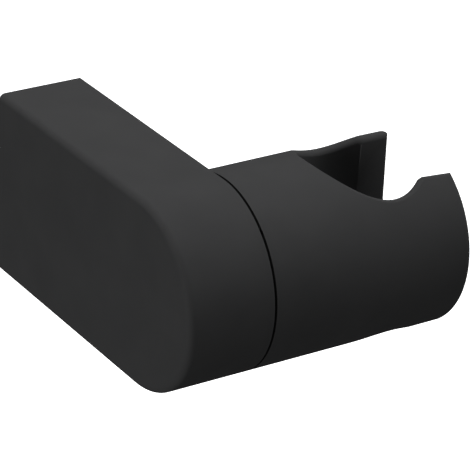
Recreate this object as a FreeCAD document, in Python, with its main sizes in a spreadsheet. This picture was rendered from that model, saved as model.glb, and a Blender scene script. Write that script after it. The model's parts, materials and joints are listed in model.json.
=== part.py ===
import FreeCAD, Part
import os
import re
import Sketcher
from FreeCAD import Rotation, Vector

# Wall holder for a hand shower.
# The frame's origin is midway between the two wall screws, on the wall.
# +Y runs into the wall, +Z is up, and +X runs along the cradle barrel to its free end.

SIZES = {
    # Outer form
    "body_dia": 37.0,         # height of the arm and diameter of the barrel
    "arm_width": 17.4,        # arm, from its outer side to the seam
    "axis_out": 51.4,         # wall to the barrel's axis
    "barrel_len": 42.4,
    "seam_gap": 0.5,          # shadow gap between the arm and the barrel
    "edge_round": 1.2,        # outer side of the arm
    "end_bevel": 0.7,         # free end of the barrel
    "rim_bevel": 0.7,         # rims of the bore and the slot
    # Cradle for the handset's cone
    "bore_out": 29.0,         # barrel's inner end to the bore's axis
    "bore_top_dia": 22.8,
    "bore_low_dia": 21.2,
    "slot_mouth": 18.9,       # width of the slot at the free end
    "slot_flare": 3.5,        # degrees, each side
    # Cast walls of the arm
    "side_wall": 2.5,
    "rim_wall": 3.0,
    "boss_dia": 26.0,
    "boss_floor": 1.4,        # left below the bush
    # Bearing of the barrel
    "bush_dia": 18.0,
    "bush_bore": 14.0,
    "bush_flange_dia": 24.0,
    "flange_recess": 1.0,
    "press_gap": 0.03,
    "running_gap": 0.05,
    "spigot_short": 1.9,      # spigot's end to the bush's inner end
    "ring_cord": 1.4,
    "ring_room": 0.6,         # spare width in the ring's groove
    # Pivot screw and what it clamps
    "screw_dia": 6.0,
    "screw_short": 0.4,       # screw's end to the nut's outer end
    "screw_bevel": 0.2,
    "head_dia": 10.0,
    "head_len": 6.0,
    "head_key": 5.0,
    "hole_gap": 0.3,
    "thread_gap": 0.05,
    "washer_dia": 12.0,
    "washer_thick": 1.0,
    "spring_thick": 0.6,
    "spring_rise": 0.3,
    "hub_len": 8.4,           # barrel's inner end to the washer's seat
    "nut_flats": 10.0,
    "nut_len": 5.0,
    "nut_gap": 0.2,
    "nut_room": 0.3,          # nut's outer end to the arm's side wall
    "rib_wall": 2.5,
    "rib_len": 20.0,
    "lock_dia": 11.0,
    "lock_thick": 1.2,
    "lock_split": 1.0,
    # Wall bracket and the grub screw below it
    "bracket_depth": 9.0,
    "bracket_gap": 0.3,
    "bracket_drop": 0.6,
    "bracket_edge": 0.5,
    "wall_hole_pitch": 18.0,
    "wall_hole_dia": 4.5,
    "wall_sink_dia": 8.6,
    "grub_dia": 5.0,
    "grub_len": 6.0,
    "grub_key": 2.5,
    "grub_out": 4.5,          # wall to the grub screw's axis
    "grub_inset": 0.2,
    "groove_depth": 2.65,
}

# Places along X and lengths that several pieces share
NUT_END = "(side_wall + nut_room - arm_width / 2)"
BOSS_FACE = f"({NUT_END} + nut_len + lock_thick)"
BUSH_LEN = f"(arm_width / 2 - flange_recess - {BOSS_FACE} - boss_floor)"
SPIGOT_LEN = f"(seam_gap + flange_recess + {BUSH_LEN} - spigot_short)"
HEAD_SEAT = "(arm_width / 2 + seam_gap + hub_len + washer_thick + spring_thick + spring_rise)"
SCREW_LEN = f"({HEAD_SEAT} - {NUT_END} - screw_short)"

doc = FreeCAD.newDocument("HandShowerHolder")
sheet = doc.addObject("Spreadsheet::Sheet", "Sizes")
for row, (alias, size) in enumerate(SIZES.items(), start=1):
    sheet.set(f"A{row}", alias)
    sheet.set(f"B{row}", str(size))
    sheet.setAlias(f"B{row}", alias)
doc.recompute()


def full(text):
    """Point every size named in an expression at the sheet."""
    return re.sub(r"[a-z]+(?:_[a-z]+)+", r"Sizes.\g<0>", text)


def number(text):
    """Value of an expression at the present sizes."""
    return float(sheet.evalExpression(full(text)))


def bind(target, name, text):
    target.setExpression(name, full(text))


def new_body(label, x="0", y="0", z="0"):
    body = doc.addObject("PartDesign::Body", label)
    body.Label = label
    for axis, text in (("x", x), ("y", y), ("z", z)):
        bind(body, f"Placement.Base.{axis}", text)
    return body


def new_sketch(body, name, role, offset="0"):
    plane = next(p for p in body.Origin.OriginFeatures if p.Role == role)
    sketch = body.newObject("Sketcher::SketchObject", name)
    sketch.AttachmentSupport = [(plane, "")]
    sketch.MapMode = "FlatFace"
    bind(sketch, "AttachmentOffset.Base.z", offset)
    return sketch


def hold(sketch, kind, text, *where):
    """Add a distance or radius that follows an expression."""
    index = sketch.addConstraint(Sketcher.Constraint(kind, *where, number(text)))
    bind(sketch, f"Constraints[{index}]", text)


def pin(sketch, piece, end, x, y):
    """Hold one point of a sketch at a place given by two expressions."""
    for kind, text, axis in (("DistanceX", x, -2), ("DistanceY", y, -1)):
        if text == "0":
            sketch.addConstraint(Sketcher.Constraint("PointOnObject", piece, end, axis))
        else:
            hold(sketch, kind, text, piece, end)


def add_polygon(sketch, corners):
    """Closed outline of straight sides."""
    first = sketch.GeometryCount
    count = len(corners)
    points = [Vector(number(x), number(y), 0) for x, y in corners]
    for i in range(count):
        sketch.addGeometry(Part.LineSegment(points[i], points[(i + 1) % count]), False)
    for i in range(count):
        following = first + (i + 1) % count
        sketch.addConstraint(Sketcher.Constraint("Coincident", first + i, 2, following, 1))
    for i, (x, y) in enumerate(corners):
        pin(sketch, first + i, 1, x, y)


def add_circle(sketch, x, y, radius):
    centre = Vector(number(x), number(y), 0)
    index = sketch.addGeometry(Part.Circle(centre, Vector(0, 0, 1), number(radius)), False)
    pin(sketch, index, 3, x, y)
    hold(sketch, "Radius", radius, index)


def add_axis(sketch, start, end):
    """Construction line between two places, to turn the sketch about."""
    points = [Vector(number(x), number(y), 0) for x, y in (start, end)]
    line = sketch.addGeometry(Part.LineSegment(*points), True)
    pin(sketch, line, 1, *start)
    pin(sketch, line, 2, *end)


def add_round_nosed(sketch, back, nose, radius):
    """Straight-sided outline from x = back, ended by a half circle centred at x = nose."""
    corners = [(nose, f"-({radius})"), (back, f"-({radius})"), (back, radius), (nose, radius)]
    points = [Vector(number(x), number(y), 0) for x, y in corners]
    for start, end in zip(points, points[1:]):
        sketch.addGeometry(Part.LineSegment(start, end), False)
    tip = Vector(number(nose) - number(radius), 0, 0)
    arc = sketch.addGeometry(Part.Arc(points[3], tip, points[0]), False)
    for i in range(2):
        sketch.addConstraint(Sketcher.Constraint("Coincident", i, 2, i + 1, 1))
    sketch.addConstraint(Sketcher.Constraint("Coincident", 2, 2, arc, 1))
    sketch.addConstraint(Sketcher.Constraint("Coincident", arc, 2, 0, 1))
    for i, (x, y) in enumerate(corners[:3]):
        pin(sketch, i, 1, x, y)
    pin(sketch, 2, 2, *corners[3])
    hold(sketch, "DistanceX", nose, arc, 3)


def add_hexagon(sketch, flats):
    """Hexagon centred on the sketch's origin, with two flats level."""
    side = f"({flats}) / sqrt(3)"
    half = f"({flats}) / 2"
    add_polygon(sketch, [
        (side, "0"), (f"{side} / 2", half), (f"-({side}) / 2", half),
        (f"-({side})", "0"), (f"-({side}) / 2", f"-({half})"), (f"{side} / 2", f"-({half})"),
    ])


def extrude(body, kind, name, sketch, length=None, both_ways=False, reverse=False):
    """Pad or pocket a sketch; a pocket with no length goes through everything."""
    feature = body.newObject(f"PartDesign::{kind}", name)
    feature.Profile = sketch
    feature.Reversed = reverse
    if both_ways:
        feature.SideType = "Symmetric"
    if length is None:
        feature.Type = "ThroughAll"
    else:
        bind(feature, "Length", length)
    sketch.Visibility = False
    body.Tip = feature
    doc.recompute()
    return feature


def revolve(body, kind, name, sketch, axis):
    """Turn a sketch, or cut its turned form, through a full circle."""
    feature = body.newObject(f"PartDesign::{kind}", name)
    feature.Profile = sketch
    feature.ReferenceAxis = (sketch, [axis])
    feature.Angle = 360
    sketch.Visibility = False
    body.Tip = feature
    doc.recompute()
    return feature


def soften(body, kind, name, size, wanted):
    """Fillet or chamfer the edges of the body that a test picks."""
    base = body.Tip
    names = [f"Edge{i}" for i, edge in enumerate(base.Shape.Edges, start=1) if wanted(edge)]
    feature = body.newObject(f"PartDesign::{kind}", name)
    feature.Base = (base, names)
    bind(feature, "Radius" if kind == "Fillet" else "Size", size)
    body.Tip = feature
    doc.recompute()
    return feature


def middle(edge):
    return edge.valueAt((edge.FirstParameter + edge.LastParameter) / 2)


def turned(label, outline, x, y="-axis_out", z="0"):
    """Body turned about its own X axis from (along, radius) points."""
    body = new_body(label, x, y, z)
    sketch = new_sketch(body, label + "_profile", "XY_Plane")
    add_polygon(sketch, outline)
    revolve(body, "Revolution", label + "_turning", sketch, "H_Axis")
    return body


def make_arm_shell():
    body = new_body("arm_shell")
    radius = "body_dia / 2"
    side = new_sketch(body, "arm_side", "YZ_Plane")
    add_round_nosed(side, "0", "-axis_out", radius)
    extrude(body, "Pad", "arm_block", side, "arm_width", both_ways=True)

    outer = -number("arm_width") / 2
    soften(body, "Fillet", "arm_edge", "edge_round",
           lambda edge: abs(middle(edge).x - outer) < 0.01 and middle(edge).y < -0.01)

    hollow = new_sketch(body, "arm_hollow", "YZ_Plane")
    add_round_nosed(hollow, "rim_wall", "-axis_out", f"{radius} - rim_wall")
    extrude(body, "Pocket", "arm_core", hollow, "arm_width - 2 * side_wall", both_ways=True)

    boss = new_sketch(body, "boss_outline", "YZ_Plane", BOSS_FACE)
    add_circle(boss, "-axis_out", "0", "boss_dia / 2")
    extrude(body, "Pad", "pivot_boss", boss, f"arm_width / 2 - side_wall / 2 - {BOSS_FACE}")

    ribs = new_sketch(body, "rib_outlines", "YZ_Plane", "side_wall / 2 - arm_width / 2")
    near = "(nut_flats / 2 + nut_gap)"
    far = "(nut_flats / 2 + nut_gap + rib_wall)"
    for sign in ("", "-"):
        add_polygon(ribs, [
            ("-axis_out - rib_len / 2", f"{sign}{near}"), ("rib_len / 2 - axis_out", f"{sign}{near}"),
            ("rib_len / 2 - axis_out", f"{sign}{far}"), ("-axis_out - rib_len / 2", f"{sign}{far}"),
        ])
    extrude(body, "Pad", "nut_channel", ribs, "side_wall / 2 + nut_room + nut_len - nut_gap")

    socket = new_sketch(body, "socket_steps", "XY_Plane")
    past_floor = f"{BOSS_FACE} - rim_wall"
    floor = f"{BOSS_FACE} + boss_floor"
    ledge = "arm_width / 2 - flange_recess"
    past_seam = "arm_width / 2 + rim_wall"
    add_polygon(socket, [
        (past_floor, "-axis_out"), (past_floor, "screw_dia / 2 + hole_gap - axis_out"),
        (floor, "screw_dia / 2 + hole_gap - axis_out"), (floor, "bush_dia / 2 + press_gap - axis_out"),
        (ledge, "bush_dia / 2 + press_gap - axis_out"),
        (ledge, "bush_flange_dia / 2 + press_gap - axis_out"),
        (past_seam, "bush_flange_dia / 2 + press_gap - axis_out"), (past_seam, "-axis_out"),
    ])
    add_axis(socket, ("0", "-axis_out"), ("arm_width", "-axis_out"))
    revolve(body, "Groove", "bush_socket", socket, "Axis0")

    tapping = new_sketch(body, "grub_outline", "XY_Plane", f"-({radius})")
    add_circle(tapping, "0", "-grub_out", "grub_dia / 2 + thread_gap")
    extrude(body, "Pocket", "grub_tapping", tapping, "2 * rim_wall", reverse=True)


def make_wall_bracket():
    body = new_body("wall_bracket")
    half = "(arm_width / 2 - side_wall - bracket_gap)"
    top = "(body_dia / 2 - rim_wall)"
    low = f"(bracket_drop - {top})"
    face = new_sketch(body, "bracket_face", "XZ_Plane")
    add_polygon(face, [(f"-{half}", low), (half, low), (half, top), (f"-{half}", top)])
    extrude(body, "Pad", "bracket_block", face, "bracket_depth")

    front = -number("bracket_depth")
    soften(body, "Chamfer", "bracket_lead_in", "bracket_edge",
           lambda edge: abs(middle(edge).y - front) < 0.01)

    groove = new_sketch(body, "groove_outline", "YZ_Plane")
    add_polygon(groove, [
        ("-grub_out - groove_depth", low), ("groove_depth - grub_out", low),
        ("-grub_out", f"{low} + groove_depth"),
    ])
    extrude(body, "Pocket", "grub_groove", groove, both_ways=True)

    centres = new_sketch(body, "wall_hole_centres", "XZ_Plane", "bracket_depth")
    for sign in ("", "-"):
        add_circle(centres, "0", f"{sign}wall_hole_pitch / 2", "wall_hole_dia / 2")
    doc.recompute()
    holes = body.newObject("PartDesign::Hole", "wall_holes")
    holes.Profile = centres
    holes.Threaded = False
    holes.DepthType = "ThroughAll"
    holes.HoleCutType = "Countersink"
    holes.HoleCutCustomValues = True
    holes.HoleCutCountersinkAngle = 90
    bind(holes, "Diameter", "wall_hole_dia")
    bind(holes, "HoleCutDiameter", "wall_sink_dia")
    centres.Visibility = False
    body.Tip = holes
    doc.recompute()


def cut_hex_key(body, name, flats, at, depth, inward):
    """Sink a hexagon socket into the end of a turned screw."""
    key = new_sketch(body, name + "_outline", "YZ_Plane", at)
    add_hexagon(key, flats)
    extrude(body, "Pocket", name, key, depth, reverse=inward)


def make_grub_screw():
    """Set screw with a cone point, upright under the bracket."""
    body = turned("grub_screw", [
        ("0", "0"), ("0", "grub_dia / 2 - screw_bevel"), ("screw_bevel", "grub_dia / 2"),
        ("grub_len - grub_dia / 2", "grub_dia / 2"), ("grub_len", "0"),
    ], "0", "-grub_out", "grub_inset - body_dia / 2")
    body.Placement.Rotation = Rotation(Vector(0, 1, 0), -90)
    cut_hex_key(body, "grub_socket", "grub_key", "0", "grub_key", True)


def make_pivot_bush():
    """Flanged bearing sleeve, whose flange stands out of the arm by the seam gap."""
    inner_end = f"-flange_recess - {BUSH_LEN}"
    turned("pivot_bush", [
        (inner_end, "bush_bore / 2"), ("seam_gap", "bush_bore / 2"),
        ("seam_gap", "bush_flange_dia / 2"), ("-flange_recess", "bush_flange_dia / 2"),
        ("-flange_recess", "bush_dia / 2"), (inner_end, "bush_dia / 2"),
    ], "arm_width / 2")


def make_pivot_screw():
    """Socket-head screw that holds the barrel to the arm."""
    body = turned("pivot_screw", [
        (f"-{SCREW_LEN}", "0"), (f"-{SCREW_LEN}", "screw_dia / 2 - screw_bevel"),
        (f"screw_bevel - {SCREW_LEN}", "screw_dia / 2"), ("0", "screw_dia / 2"),
        ("0", "head_dia / 2"), ("head_len - screw_bevel", "head_dia / 2"),
        ("head_len", "head_dia / 2 - screw_bevel"), ("head_len", "0"),
    ], HEAD_SEAT)
    cut_hex_key(body, "head_socket", "head_key", "head_len", "head_len / 2", False)


def make_washers():
    bore = "screw_dia / 2 + thread_gap"
    rim = "washer_dia / 2"
    seat = "arm_width / 2 + seam_gap + hub_len"
    turned("friction_washer", [
        ("0", bore), ("washer_thick", bore), ("washer_thick", rim), ("0", rim),
    ], seat)
    turned("disc_spring", [
        ("spring_rise", bore), ("spring_rise + spring_thick", bore),
        ("spring_thick", rim), ("0", rim),
    ], f"{seat} + washer_thick")


def make_nut_and_lock_washer():
    bore = "screw_dia / 2 + thread_gap"
    lock = turned("lock_washer", [
        ("-lock_thick", bore), ("0", bore), ("0", "lock_dia / 2"), ("-lock_thick", "lock_dia / 2"),
    ], BOSS_FACE)
    split = new_sketch(lock, "split_outline", "XY_Plane")
    add_polygon(split, [
        ("lock_thick * -1.5", "lock_split * -2"), ("lock_thick / 2", "0"),
        ("lock_thick / 2", "lock_split"), ("lock_thick * -1.5", "-lock_split"),
    ])
    extrude(lock, "Pocket", "lock_gap", split, "lock_dia", reverse=True)

    nut = new_body("pivot_nut", f"{BOSS_FACE} - lock_thick", "-axis_out")
    outline = new_sketch(nut, "nut_outline", "YZ_Plane")
    add_hexagon(outline, "nut_flats")
    extrude(nut, "Pad", "nut_block", outline, "nut_len", reverse=True)
    thread = new_sketch(nut, "nut_bore_outline", "YZ_Plane")
    add_circle(thread, "0", "0", bore)
    extrude(nut, "Pocket", "nut_bore", thread)
    corner = "nut_flats / sqrt(3)"
    cut = f"({corner} - nut_flats / 2)"
    bevel = new_sketch(nut, "nut_bevel_outline", "XY_Plane")
    add_polygon(bevel, [
        ("-nut_len", "nut_flats / 2"), ("-nut_len", f"{corner} + {cut}"),
        (f"{cut} - nut_len", f"{corner} + {cut}"),
    ])
    revolve(nut, "Groove", "nut_bevel", bevel, "H_Axis")


def make_cradle_barrel():
    body = new_body("cradle_barrel", "arm_width / 2 + seam_gap", "-axis_out")
    radius = "body_dia / 2"
    spigot = "(bush_bore / 2 - running_gap)"
    groove_floor = f"({spigot} - ring_cord)"
    groove_mid = f"{SPIGOT_LEN} / 2"
    groove_half = "(ring_cord + ring_room) / 2"
    blank = new_sketch(body, "barrel_profile", "XY_Plane")
    add_polygon(blank, [
        (f"-{SPIGOT_LEN}", "0"), (f"-{SPIGOT_LEN}", spigot),
        (f"-{groove_mid} - {groove_half}", spigot), (f"-{groove_mid} - {groove_half}", groove_floor),
        (f"{groove_half} - {groove_mid}", groove_floor), (f"{groove_half} - {groove_mid}", spigot),
        ("0", spigot), ("0", radius), ("barrel_len", radius), ("barrel_len", "0"),
    ])
    revolve(body, "Revolution", "barrel_turning", blank, "H_Axis")

    screw_way = new_sketch(body, "screw_way_profile", "XY_Plane")
    hole = "screw_dia / 2 + hole_gap"
    seat = "washer_dia / 2 + hole_gap"
    add_polygon(screw_way, [
        (f"-{SPIGOT_LEN} - hub_len", "0"), (f"-{SPIGOT_LEN} - hub_len", hole), ("hub_len", hole),
        ("hub_len", seat), ("bore_out", seat), ("bore_out", "0"),
    ])
    revolve(body, "Groove", "screw_way", screw_way, "H_Axis")

    cone = new_sketch(body, "bore_profile", "XZ_Plane")
    spread = "(bore_top_dia - bore_low_dia) / 4"
    high = "bore_top_dia / 2 + "
    low = "bore_low_dia / 2 - "
    add_polygon(cone, [
        ("bore_out", "-body_dia"), (f"bore_out + {low}{spread}", "-body_dia"),
        (f"bore_out + {high}{spread}", "body_dia"), ("bore_out", "body_dia"),
    ])
    add_axis(cone, ("bore_out", "0"), ("bore_out", "body_dia"))
    revolve(body, "Groove", "handset_bore", cone, "Axis0")

    slot = new_sketch(body, "slot_outline", "XY_Plane")
    inner = "(slot_mouth / 2 - (barrel_len - bore_out) * tan(slot_flare * 1 deg))"
    outer = "(slot_mouth / 2 + rim_wall * tan(slot_flare * 1 deg))"
    add_polygon(slot, [
        ("bore_out", f"-{inner}"), ("barrel_len + rim_wall", f"-{outer}"),
        ("barrel_len + rim_wall", outer), ("bore_out", inner),
    ])
    extrude(body, "Pocket", "hose_slot", slot, both_ways=True)

    soften(body, "Chamfer", "barrel_rims", "rim_bevel", is_rim)

    corner = new_sketch(body, "end_corner_outline", "XY_Plane")
    add_polygon(corner, [
        ("barrel_len - 2 * end_bevel", f"{radius} + end_bevel"),
        ("barrel_len + end_bevel", f"{radius} - 2 * end_bevel"),
        ("barrel_len + end_bevel", f"{radius} + end_bevel"),
    ])
    revolve(body, "Groove", "end_corner", corner, "H_Axis")


def is_rim(edge):
    """Edges where the bore and the slot meet the barrel's outside."""
    place = middle(edge)
    on_skin = abs((place.y ** 2 + place.z ** 2) ** 0.5 - number("body_dia / 2")) < 0.01
    between_ends = 0.1 < place.x < number("barrel_len") - 0.01
    return on_skin and between_ends and abs(place.z) > 0.5


def make_spigot_ring():
    """Square-cut rubber ring in the spigot's groove, for a smooth and tight turn."""
    outer = "bush_bore / 2 - running_gap"
    turned("spigot_ring", [
        ("-ring_cord / 2", f"{outer} - ring_cord"), ("ring_cord / 2", f"{outer} - ring_cord"),
        ("ring_cord / 2", outer), ("-ring_cord / 2", outer),
    ], f"arm_width / 2 + seam_gap - {SPIGOT_LEN} / 2")


make_arm_shell()
make_wall_bracket()
make_grub_screw()
make_pivot_bush()
make_pivot_screw()
make_washers()
make_nut_and_lock_washer()
make_cradle_barrel()
make_spigot_ring()
doc.recompute()

for item in doc.Objects:
    if "Invalid" in item.State or "Error" in item.State:
        raise RuntimeError(f"{item.Label} failed: {item.State}")

pieces = [item for item in doc.Objects if item.TypeId == "PartDesign::Body"]
for piece in pieces:
    if piece.Shape.isNull() or not piece.Shape.isValid():
        raise RuntimeError(f"{piece.Label} has no sound shape")

os.makedirs("parts", exist_ok=True)
for piece in pieces:
    piece.Shape.exportStep(f"parts/{piece.Label}.step")
    print(piece.Label, len(piece.Shape.Solids), round(piece.Shape.Volume, 1))
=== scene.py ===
import json
import math

import bmesh
import bpy
from mathutils import Matrix, Vector


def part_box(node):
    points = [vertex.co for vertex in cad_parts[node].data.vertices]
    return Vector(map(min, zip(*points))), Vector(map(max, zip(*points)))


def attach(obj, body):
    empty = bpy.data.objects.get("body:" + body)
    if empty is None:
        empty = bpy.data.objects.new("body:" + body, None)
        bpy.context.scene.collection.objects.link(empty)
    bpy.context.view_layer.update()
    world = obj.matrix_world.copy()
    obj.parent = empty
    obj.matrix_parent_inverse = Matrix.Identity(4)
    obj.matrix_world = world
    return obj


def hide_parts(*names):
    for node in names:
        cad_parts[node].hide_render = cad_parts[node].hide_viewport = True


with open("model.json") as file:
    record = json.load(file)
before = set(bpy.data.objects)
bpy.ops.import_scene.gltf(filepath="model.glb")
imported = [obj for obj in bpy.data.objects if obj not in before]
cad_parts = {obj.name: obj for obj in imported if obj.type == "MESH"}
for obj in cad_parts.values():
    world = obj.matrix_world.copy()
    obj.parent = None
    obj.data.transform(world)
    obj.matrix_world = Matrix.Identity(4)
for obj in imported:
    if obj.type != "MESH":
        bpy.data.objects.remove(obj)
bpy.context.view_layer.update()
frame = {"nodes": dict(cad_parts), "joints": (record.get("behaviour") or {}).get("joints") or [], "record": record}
nodes = frame["nodes"]
slots = {row["node"]: row["material_slot"] for row in frame["record"]["subparts"]}
mounts = {row["name"]: row for row in frame["record"]["mounts"]}

MM = 0.001

# What the frame gives: the pivot on the barrel's axis, the barrel's radius as half the arm's
# height, the gap that the bush's flange keeps open, and the free end from the bore's middle.
axis = Vector(frame["joints"][0]["pos_m"])
arm_low, arm_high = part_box("arm_shell")
barrel_radius = (arm_high.z - arm_low.z) / 2
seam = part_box("pivot_bush")[1].x - arm_high.x
bore_centre = Vector(mounts["handset_cradle"]["pos_m"])
bore_centre.z = axis.z
free_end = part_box("cradle_barrel")[1].x - bore_centre.x

# The bore and the slot, as in the CAD source. The bore's radius grows towards the barrel's top.
BORE_MID_RADIUS = 11.0 * MM
BORE_TAPER = 0.8 * MM / (2 * barrel_radius)
SLOT_HALF_MOUTH = 9.45 * MM
SLOT_FLARE = math.radians(3.5)

# Rounds on the barrel's rims and free end, and on the two upright edges of the slot's mouth.
RIM_ROUND = 1.2 * MM
MOUTH_ROUND = 0.8 * MM

# A cutter's arc stands this proud of its round, so that it crosses the surfaces the round meets.
# Its back lies outside them, and its ends run past the free end or are taller than the barrel.
PROUD = 0.02 * MM
OUTSIDE = 1.0 * MM
PAST_END = 2.0 * MM
TALLER = 1.2

# Steps of the cutters along the slot, round the bore, round the free end and along the arc.
SLOT_STEPS = 24
BORE_STEPS = 96
END_STEPS = 144
ARC_STEPS = 12

# Steps of the searches for a ball that touches two surfaces, and for one that touches three.
SETTLING_STEPS = 5
HALVINGS = 40

# Corners closer than this are one, and a round takes off less than one part in a hundred.
WELD = 0.0005 * MM
LEAST_LEFT = 0.99

# A corner this close to the skin or the bore takes its true normal, if its face looks that way.
ON_SURFACE = 0.04 * MM
SAME_WAY = math.cos(math.radians(20))
SHARP_EDGE = math.radians(30)

# Painted shade: the coat is darkened on both faces of the gap between arm and barrel, where shade falls, up to a
# little below the skin.
GAP_REACH = 0.52 * seam
GAP_MARGIN = 0.02 * MM
GAP_PAINTED_SHADE = (0.005, 0.005, 0.005, 1.0)

# Most of a noise lies between these values. Turning marks are a noise squeezed into rings.
NOISE_LOW = 0.3
NOISE_HIGH = 0.7
RING_SQUEEZE = (9.0, 0.35, 0.35)

# Numbers of the colour sockets of a mix node, which come after those for its other kinds.
MIX_FIRST = 6
MIX_SECOND = 7
MIX_RESULT = 2

# The camera stands where the photograph was taken from, at the photograph's own perspective.
CAMERA_FROM_PIVOT = Vector((-0.24671, -0.37926, 0.22888))
VIEW_AZIMUTH = math.radians(33.372)
VIEW_DOWN = math.radians(26.069)
VIEW_ROLL = math.radians(2.501)
LENS = 215.72
SENSOR = 36.0
NEAR_CLIP = 0.01

# Surroundings: white and pale as seen directly, dim for the light that they throw back.
WHITE = (1.0, 1.0, 1.0, 1.0)
DIM_SKY = (0.03, 0.03, 0.03, 1.0)
PALE_FLOOR = (0.8, 0.8, 0.8, 1.0)
DIM_FLOOR = (0.3, 0.3, 0.3, 1.0)
FLOOR_HALF = 6.0
FLOOR_HEIGHT = -0.25
LIGHT_DISTANCE = 0.8


def add_object(name, data):
    """New object in the scene's own collection."""
    added = bpy.data.objects.new(name, data)
    bpy.context.scene.collection.objects.link(added)
    return added


def make_camera():
    forward = Vector((math.cos(VIEW_DOWN) * math.sin(VIEW_AZIMUTH),
                      math.cos(VIEW_DOWN) * math.cos(VIEW_AZIMUTH),
                      -math.sin(VIEW_DOWN)))
    level_right = forward.cross(Vector((0, 0, 1))).normalized()
    level_down = forward.cross(level_right)
    right = math.cos(VIEW_ROLL) * level_right - math.sin(VIEW_ROLL) * level_down
    down = math.sin(VIEW_ROLL) * level_right + math.cos(VIEW_ROLL) * level_down
    data = bpy.data.cameras.new("camera")
    data.sensor_fit = "HORIZONTAL"
    data.sensor_width = SENSOR
    data.lens = LENS
    data.clip_start = NEAR_CLIP
    camera = add_object("camera", data)
    turn = Matrix((right, -down, -forward)).transposed().to_4x4()
    camera.matrix_world = Matrix.Translation(axis + CAMERA_FROM_PIVOT) @ turn
    bpy.context.scene.camera = camera


class Graph:
    """Small helper that adds and links shader nodes."""

    def __init__(self, tree):
        self.tree = tree
        tree.nodes.clear()

    def fill(self, node, values):
        """Link or set a node's inputs, each given by its name or number."""
        for name, value in values.items():
            socket = node.inputs[name]
            if isinstance(value, bpy.types.NodeSocket):
                self.tree.links.new(value, socket)
            else:
                socket.default_value = value

    def add(self, kind, values=None, **settings):
        node = self.tree.nodes.new(kind)
        for name, value in settings.items():
            setattr(node, name, value)
        self.fill(node, values or {})
        return node

    def calc(self, operation, *values):
        """Result of a maths node."""
        node = self.add("ShaderNodeMath", dict(enumerate(values)), operation=operation)
        return node.outputs[0]

    def noise(self, place, scale, detail, roughness=0.55):
        return self.add("ShaderNodeTexNoise", {
            "Vector": place, "Scale": scale, "Detail": detail, "Roughness": roughness,
        }).outputs["Fac"]

    def spread(self, noise, low, high):
        """Map a noise to a range."""
        return self.add("ShaderNodeMapRange", {
            "Value": noise, "From Min": NOISE_LOW, "From Max": NOISE_HIGH,
            "To Min": low, "To Max": high,
        }).outputs["Result"]

    def blend(self, share, first, second):
        """Colour between two others, by a share from 0 to 1."""
        return self.add("ShaderNodeMix", {0: share, MIX_FIRST: first, MIX_SECOND: second},
                        data_type="RGBA").outputs[MIX_RESULT]

    def mottle(self, noise, dark, light):
        return self.blend(self.spread(noise, 0.0, 1.0), dark, light)

    def bump(self, height, depth, strength, under=None):
        values = {"Height": height, "Distance": depth, "Strength": strength}
        if under is not None:
            values["Normal"] = under
        return self.add("ShaderNodeBump", values).outputs["Normal"]


def empty_material(name):
    material = bpy.data.materials.new(name)
    material.use_nodes = True
    return material, Graph(material.node_tree)


def solid_material(name):
    """Material with one shader, and the place on the object for its noises."""
    material, graph = empty_material(name)
    shader = graph.add("ShaderNodeBsdfPrincipled")
    graph.add("ShaderNodeOutputMaterial", {"Surface": shader.outputs["BSDF"]})
    place = graph.add("ShaderNodeTexCoord").outputs["Object"]
    return material, graph, shader, place


def painted_gap_shade_mask(graph, place):
    """Mask of painted shade: 1 on the two faces that meet in the gap between arm and barrel, else 0."""
    middle = arm_high.x + seam / 2
    along = graph.add("ShaderNodeSeparateXYZ", {"Vector": place}).outputs["X"]
    reach = graph.add("ShaderNodeVectorMath", {0: place, 1: (middle, axis.y, axis.z)},
                      operation="DISTANCE").outputs["Value"]
    return graph.calc("MULTIPLY", graph.calc("COMPARE", along, middle, GAP_REACH),
                      graph.calc("LESS_THAN", reach, barrel_radius - GAP_MARGIN))


def powder_coat():
    """Matte black coat: a fine even grain over a faint, wider unevenness, with painted shade on the faces inside
    the gap between arm and barrel.
    """
    material, graph, shader, place = solid_material("powder_coat")
    clouds = graph.noise(place, scale=90.0, detail=2.0)
    grain = graph.noise(place, scale=5200.0, detail=2.0)
    peel = graph.noise(place, scale=1300.0, detail=2.0, roughness=0.4)
    colour = graph.mottle(clouds, (0.0325, 0.0327, 0.0333, 1.0), (0.0355, 0.0357, 0.0362, 1.0))
    skin = graph.bump(peel, depth=0.006 * MM, strength=0.6)
    skin = graph.bump(grain, depth=0.004 * MM, strength=0.5, under=skin)
    graph.fill(shader, {
        # The base colour turns near black on the gap's faces: painted shade.
        "Base Color": graph.blend(painted_gap_shade_mask(graph, place), colour, GAP_PAINTED_SHADE),
        "Roughness": graph.spread(peel, 0.66, 0.74),
        "Specular IOR Level": 0.0,
        "Normal": skin,
    })
    return material


def bare_casting():
    material, graph, shader, place = solid_material("bare_casting")
    clouds = graph.noise(place, scale=700.0, detail=4.0)
    grain = graph.noise(place, scale=4200.0, detail=3.0)
    graph.fill(shader, {
        "Base Color": graph.mottle(clouds, (0.42, 0.43, 0.44, 1.0), (0.58, 0.585, 0.59, 1.0)),
        "Metallic": 0.9,
        "Roughness": graph.spread(clouds, 0.42, 0.6),
        "Normal": graph.bump(grain, depth=0.02 * MM, strength=0.6),
    })
    return material


def screw_thread(graph, place, along, centre, pitch, end):
    """Height of a thread that winds round the axis 'along' and stops at its end."""
    from_centre = graph.add("ShaderNodeVectorMath", {0: place, 1: centre},
                            operation="SUBTRACT").outputs["Vector"]
    parts = graph.add("ShaderNodeSeparateXYZ", {"Vector": from_centre}).outputs
    across = [parts[letter] for letter in "XYZ" if letter != along]
    turns = graph.calc("DIVIDE", graph.calc("ARCTAN2", *across), 2 * math.pi)
    climb = graph.calc("MULTIPLY_ADD", parts[along], 1 / pitch, turns)
    return graph.calc("MULTIPLY", graph.calc("PINGPONG", climb, 0.5),
                      graph.calc("LESS_THAN", parts[along], end))


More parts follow.
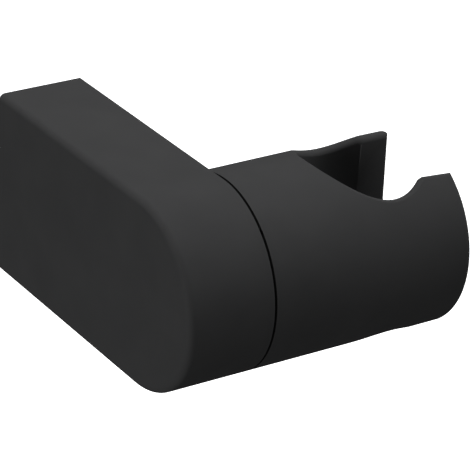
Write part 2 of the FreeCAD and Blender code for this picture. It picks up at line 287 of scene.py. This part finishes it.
def turned_metal(name, dark, light, smooth, rough, thread=None):
    """Bright metal with the fine rings that turning leaves around the X axis."""
    material, graph, shader, place = solid_material(name)
    rings = graph.add("ShaderNodeMapping", {"Vector": place, "Scale": RING_SQUEEZE})
    marks = graph.noise(rings.outputs["Vector"], scale=900.0, detail=3.0)
    clouds = graph.noise(place, scale=350.0, detail=2.0)
    skin = graph.bump(marks, depth=0.004 * MM, strength=0.5)
    if thread:
        ridges = screw_thread(graph, place, **thread)
        skin = graph.bump(ridges, depth=thread["pitch"], strength=1.0, under=skin)
    graph.fill(shader, {
        "Base Color": graph.mottle(clouds, dark, light),
        "Metallic": 1.0,
        "Roughness": graph.spread(marks, smooth, rough),
        "Normal": skin,
    })
    return material


def moulded(name, dark, light, smooth, rough, grain_depth):
    material, graph, shader, place = solid_material(name)
    clouds = graph.noise(place, scale=240.0, detail=2.0)
    grain = graph.noise(place, scale=3600.0, detail=2.0)
    graph.fill(shader, {
        "Base Color": graph.mottle(clouds, dark, light),
        "Roughness": graph.spread(clouds, smooth, rough),
        "Specular IOR Level": 0.35,
        "Normal": graph.bump(grain, depth=grain_depth, strength=0.5),
    })
    return material


def stainless(name, thread=None):
    return turned_metal(name, dark=(0.50, 0.50, 0.49, 1), light=(0.62, 0.62, 0.61, 1),
                        smooth=0.22, rough=0.38, thread=thread)


def threaded_finishes():
    """Steel with an M6 thread up to the pivot screw's head, and an M5 one up to the grub's cone."""
    grub_low, grub_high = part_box("grub_screw")
    grub_middle = (grub_low + grub_high) / 2
    grub_radius = (grub_high.x - grub_low.x) / 2
    cone_height = grub_radius
    return {
        "pivot_screw": stainless("stainless_m6", thread={
            "along": "X", "centre": axis, "pitch": 1.0 * MM,
            "end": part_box("disc_spring")[1].x - axis.x}),
        "grub_screw": stainless("stainless_m5", thread={
            "along": "Z", "centre": grub_middle, "pitch": 0.8 * MM,
            "end": grub_high.z - cone_height - grub_middle.z}),
    }


def dress_nodes():
    """Give each node the finish of its slot, or its own where it has a thread."""
    finishes = {
        "black_coat": powder_coat(),
        "bare_casting": bare_casting(),
        "stainless": stainless("stainless"),
        "brass": turned_metal("brass", dark=(0.60, 0.43, 0.20, 1), light=(0.74, 0.56, 0.28, 1),
                              smooth=0.2, rough=0.34),
        "acetal": moulded("acetal", dark=(0.008, 0.008, 0.008, 1),
                          light=(0.012, 0.012, 0.012, 1), smooth=0.38, rough=0.48,
                          grain_depth=0.006 * MM),
        "rubber": moulded("rubber", dark=(0.014, 0.014, 0.014, 1),
                          light=(0.024, 0.024, 0.024, 1), smooth=0.5, rough=0.66,
                          grain_depth=0.012 * MM),
    }
    threaded = threaded_finishes()
    for name, piece in nodes.items():
        piece.data.materials.clear()
        piece.data.materials.append(threaded.get(name, finishes[slots[name]]))


def slot_half(along):
    """Half the slot's width at a distance from the bore's axis."""
    return SLOT_HALF_MOUTH - (free_end - along) * math.tan(SLOT_FLARE)


def ball_height(across):
    """Height at which a ball of the rim's round touches the barrel's skin from inside."""
    return math.sqrt((barrel_radius - RIM_ROUND) ** 2 - across ** 2)


def ball_at_bore(angle, side):
    """Place of a ball that touches the skin and the bore's wall."""
    reach = BORE_MID_RADIUS + RIM_ROUND
    for _ in range(SETTLING_STEPS):
        height = ball_height(reach * math.sin(angle))
        reach = BORE_MID_RADIUS + RIM_ROUND + side * BORE_TAPER * height
    return Vector((reach * math.cos(angle), reach * math.sin(angle), side * height))


def ball_at_slot(along, across_side, side):
    """Place of a ball that touches the skin and the slot's wall."""
    across = slot_half(along) + RIM_ROUND / math.cos(SLOT_FLARE)
    return Vector((along, across_side * across, side * ball_height(across)))


def where_walls_meet(side):
    """Angle round the bore at which the ball touches both the bore and the slot."""
    low, high = 0.0, math.pi / 2
    for _ in range(HALVINGS):
        middle = (low + high) / 2
        ball = ball_at_bore(middle, side)
        if ball.y < ball_at_slot(ball.x, 1, side).y:
            low = middle
        else:
            high = middle
    return low


def to_slot_wall(across_side):
    return Vector((math.sin(SLOT_FLARE), -across_side * math.cos(SLOT_FLARE), 0))


def to_skin(ball):
    return Vector((0, ball.y, ball.z)).normalized()


def rim_stations(side):
    """Ball's centre and its two directions of touch along a rim, from prong to prong."""
    meet = where_walls_meet(side)
    reach = ball_at_bore(meet, side).x
    past_end = free_end + PAST_END
    stations = []
    for i in range(SLOT_STEPS + 1):
        along = past_end + (reach - past_end) * i / SLOT_STEPS
        stations.append((ball_at_slot(along, 1, side), to_slot_wall(1)))
    for i in range(BORE_STEPS + 1):
        angle = meet + (2 * math.pi - 2 * meet) * i / BORE_STEPS
        stations.append((ball_at_bore(angle, side),
                         Vector((-math.cos(angle), -math.sin(angle), 0))))
    for i in range(SLOT_STEPS + 1):
        along = reach + (past_end - reach) * i / SLOT_STEPS
        stations.append((ball_at_slot(along, -1, side), to_slot_wall(-1)))
    return [(ball, to_skin(ball), to_wall) for ball, to_wall in stations]


def end_stations():
    """The same round the free end's outer edge."""
    reach = barrel_radius - RIM_ROUND
    angles = [2 * math.pi * i / END_STEPS for i in range(END_STEPS)]
    balls = [Vector((free_end - RIM_ROUND, reach * math.cos(angle), reach * math.sin(angle)))
             for angle in angles]
    return [(ball, to_skin(ball), Vector((1, 0, 0))) for ball in balls]


def mouth_stations(across_side):
    """The slot's mouth: the upright edge between its wall and the free end."""
    along = free_end - MOUTH_ROUND
    across = across_side * (slot_half(along) + MOUTH_ROUND / math.cos(SLOT_FLARE))
    return [(Vector((along, across, height)), Vector((1, 0, 0)), to_slot_wall(across_side))
            for height in (-TALLER * barrel_radius, TALLER * barrel_radius)]


def rim_section(ball, one_way, other_way, radius):
    """Closed outline of what is cut off at one station: the round, then well outside."""
    between = one_way.angle(other_way)
    points = []
    for i in range(ARC_STEPS + 1):
        part = i / ARC_STEPS
        way = (one_way * math.sin((1 - part) * between)
               + other_way * math.sin(part * between)) / math.sin(between)
        points.append(ball + (radius + PROUD) * way)
    points.append(ball + (radius + OUTSIDE) * other_way)
    corner = (radius + OUTSIDE) / math.cos(between / 2)
    points.append(ball + corner * (one_way + other_way).normalized())
    points.append(ball + (radius + OUTSIDE) * one_way)
    return points


def make_rim_cutter(stations, radius=RIM_ROUND, closed=False):
    """Solid through the sections at the stations, closed to a ring or capped at both ends."""
    mesh = bmesh.new()
    rings = []
    for ball, one_way, other_way in stations:
        rings.append([mesh.verts.new(bore_centre + point)
                      for point in rim_section(ball, one_way, other_way, radius)])
    count = len(rings[0])
    following_rings = rings[1:] + rings[:1] if closed else rings[1:]
    for here, there in zip(rings, following_rings):
        for i in range(count):
            following = (i + 1) % count
            mesh.faces.new((here[i], here[following], there[following], there[i]))
    if not closed:
        mesh.faces.new(rings[0])
        mesh.faces.new(rings[-1])
    bmesh.ops.recalc_face_normals(mesh, faces=mesh.faces)
    data = bpy.data.meshes.new("rim_cutter")
    mesh.to_mesh(data)
    mesh.free()
    return add_object("rim_cutter", data)


def surface_normal(place):
    """Normal of the barrel's skin or of the bore at a point on it, else None."""
    from_axis = Vector((0, place.y - axis.y, place.z - axis.z))
    if abs(from_axis.length - barrel_radius) < ON_SURFACE:
        return from_axis.normalized()
    to_bore_axis = Vector((bore_centre.x - place.x, bore_centre.y - place.y, 0))
    if abs(to_bore_axis.length - BORE_MID_RADIUS - BORE_TAPER * place.z) < ON_SURFACE:
        return to_bore_axis.normalized()
    return None


def smooth_normals(mesh):
    """True normals on the skin and the bore, even ones on the rounds."""
    mesh.shade_smooth()
    mesh.set_sharp_from_angle(angle=SHARP_EDGE)
    normals = [Vector(corner.vector) for corner in mesh.corner_normals]
    for face in mesh.polygons:
        for corner in face.loop_indices:
            true = surface_normal(mesh.vertices[mesh.loops[corner].vertex_index].co)
            if true is not None and true.dot(face.normal) > SAME_WAY:
                normals[corner] = true
    mesh.normals_split_custom_set(normals)


def welded(mesh):
    """Copy of a mesh whose faces share their corners, its volume, and whether it is closed."""
    shape = bmesh.new()
    shape.from_mesh(mesh)
    bmesh.ops.remove_doubles(shape, verts=shape.verts, dist=WELD)
    closed = all(edge.is_manifold for edge in shape.edges)
    volume = shape.calc_volume()
    copy = bpy.data.meshes.new("barrel_eased")
    shape.to_mesh(copy)
    shape.free()
    return copy, volume, closed


def cut_off(piece, cutter):
    """Mesh of the piece without what the cutter takes away."""
    cut = piece.modifiers.new("rim", "BOOLEAN")
    cut.operation = "DIFFERENCE"
    cut.solver = "EXACT"
    cut.object = cutter
    bpy.context.view_layer.update()
    shown = piece.evaluated_get(bpy.context.evaluated_depsgraph_get())
    result = bpy.data.meshes.new_from_object(shown)
    piece.modifiers.clear()
    return result


def round_barrel_rims():
    """Barrel with its rims and its free end rounded, in place of the bevelled CAD node."""
    mesh, volume, _ = welded(nodes["cradle_barrel"].data)
    piece = add_object("cradle_barrel_eased", mesh)
    cutters = [
        make_rim_cutter(rim_stations(1)),
        make_rim_cutter(rim_stations(-1)),
        make_rim_cutter(mouth_stations(1), MOUTH_ROUND),
        make_rim_cutter(mouth_stations(-1), MOUTH_ROUND),
        make_rim_cutter(end_stations(), closed=True),
    ]
    for cutter in cutters:
        mesh, left, closed = welded(cut_off(piece, cutter))
        bpy.data.objects.remove(cutter)
        if closed and LEAST_LEFT * volume < left < volume:
            piece.data = mesh
            volume = left
        else:
            print("a round of the barrel was left out")
    smooth_normals(piece.data)
    piece.data.materials.append(nodes["cradle_barrel"].data.materials[0])
    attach(piece, "cradle")
    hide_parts("cradle_barrel")


def seen_directly(graph):
    """1 for camera, mirror and see-through rays, else 0."""
    rays = graph.add("ShaderNodeLightPath").outputs
    either = graph.calc("MAXIMUM", rays["Is Camera Ray"], rays["Is Glossy Ray"])
    return graph.calc("MAXIMUM", either, rays["Is Transmission Ray"])


def make_world():
    world = bpy.data.worlds.new("world")
    bpy.context.scene.world = world
    world.use_nodes = True
    graph = Graph(world.node_tree)
    colour = graph.blend(seen_directly(graph), DIM_SKY, WHITE)
    sky = graph.add("ShaderNodeBackground", {"Color": colour, "Strength": 1.0})
    graph.add("ShaderNodeOutputWorld", {"Surface": sky.outputs["Background"]})


def make_floor():
    """Wide pale floor below the holder; it looks white and keeps the holder's shadow."""
    mesh = bpy.data.meshes.new("floor")
    corners = [(-FLOOR_HALF, -FLOOR_HALF), (FLOOR_HALF, -FLOOR_HALF),
               (FLOOR_HALF, FLOOR_HALF), (-FLOOR_HALF, FLOOR_HALF)]
    mesh.from_pydata([(x, y, FLOOR_HEIGHT) for x, y in corners], [], [(0, 1, 2, 3)])
    floor = add_object("floor", mesh)
    material, graph = empty_material("floor")
    direct = seen_directly(graph)
    matte = graph.add("ShaderNodeBsdfDiffuse", {
        "Color": graph.blend(direct, DIM_FLOOR, PALE_FLOOR)})
    glow = graph.add("ShaderNodeEmission", {"Color": WHITE, "Strength": direct})
    both = graph.add("ShaderNodeAddShader", {0: matte.outputs[0], 1: glow.outputs[0]})
    graph.add("ShaderNodeOutputMaterial", {"Surface": both.outputs[0]})
    mesh.materials.append(material)


def make_softbox(name, way, size, power):
    """Square soft light that faces the holder from the given direction."""
    data = bpy.data.lights.new(name, "AREA")
    data.size = size
    data.energy = power
    lamp = add_object(name, data)
    towards = Vector(way).normalized()
    lamp.location = axis + LIGHT_DISTANCE * towards
    lamp.rotation_euler = towards.to_track_quat("Z", "Y").to_euler()


def make_lights():
    make_softbox("light_above", way=(0.0, 0.0, 1.0), size=0.6, power=3.9)
    make_softbox("light_above_wall", way=(0.0, 0.4, 0.92), size=0.6, power=4.9)
    make_softbox("light_right", way=(0.8, -0.2, 0.55), size=0.5, power=4.8)
    make_softbox("light_left", way=(-1.0, 0.0, 0.0), size=0.45, power=3.1)
    make_softbox("light_left_front", way=(-0.7, -0.7, 0.1), size=0.45, power=1.3)


make_camera()
dress_nodes()
round_barrel_rims()
make_world()
make_floor()
make_lights()
bpy.context.scene.view_settings.view_transform = "Standard"
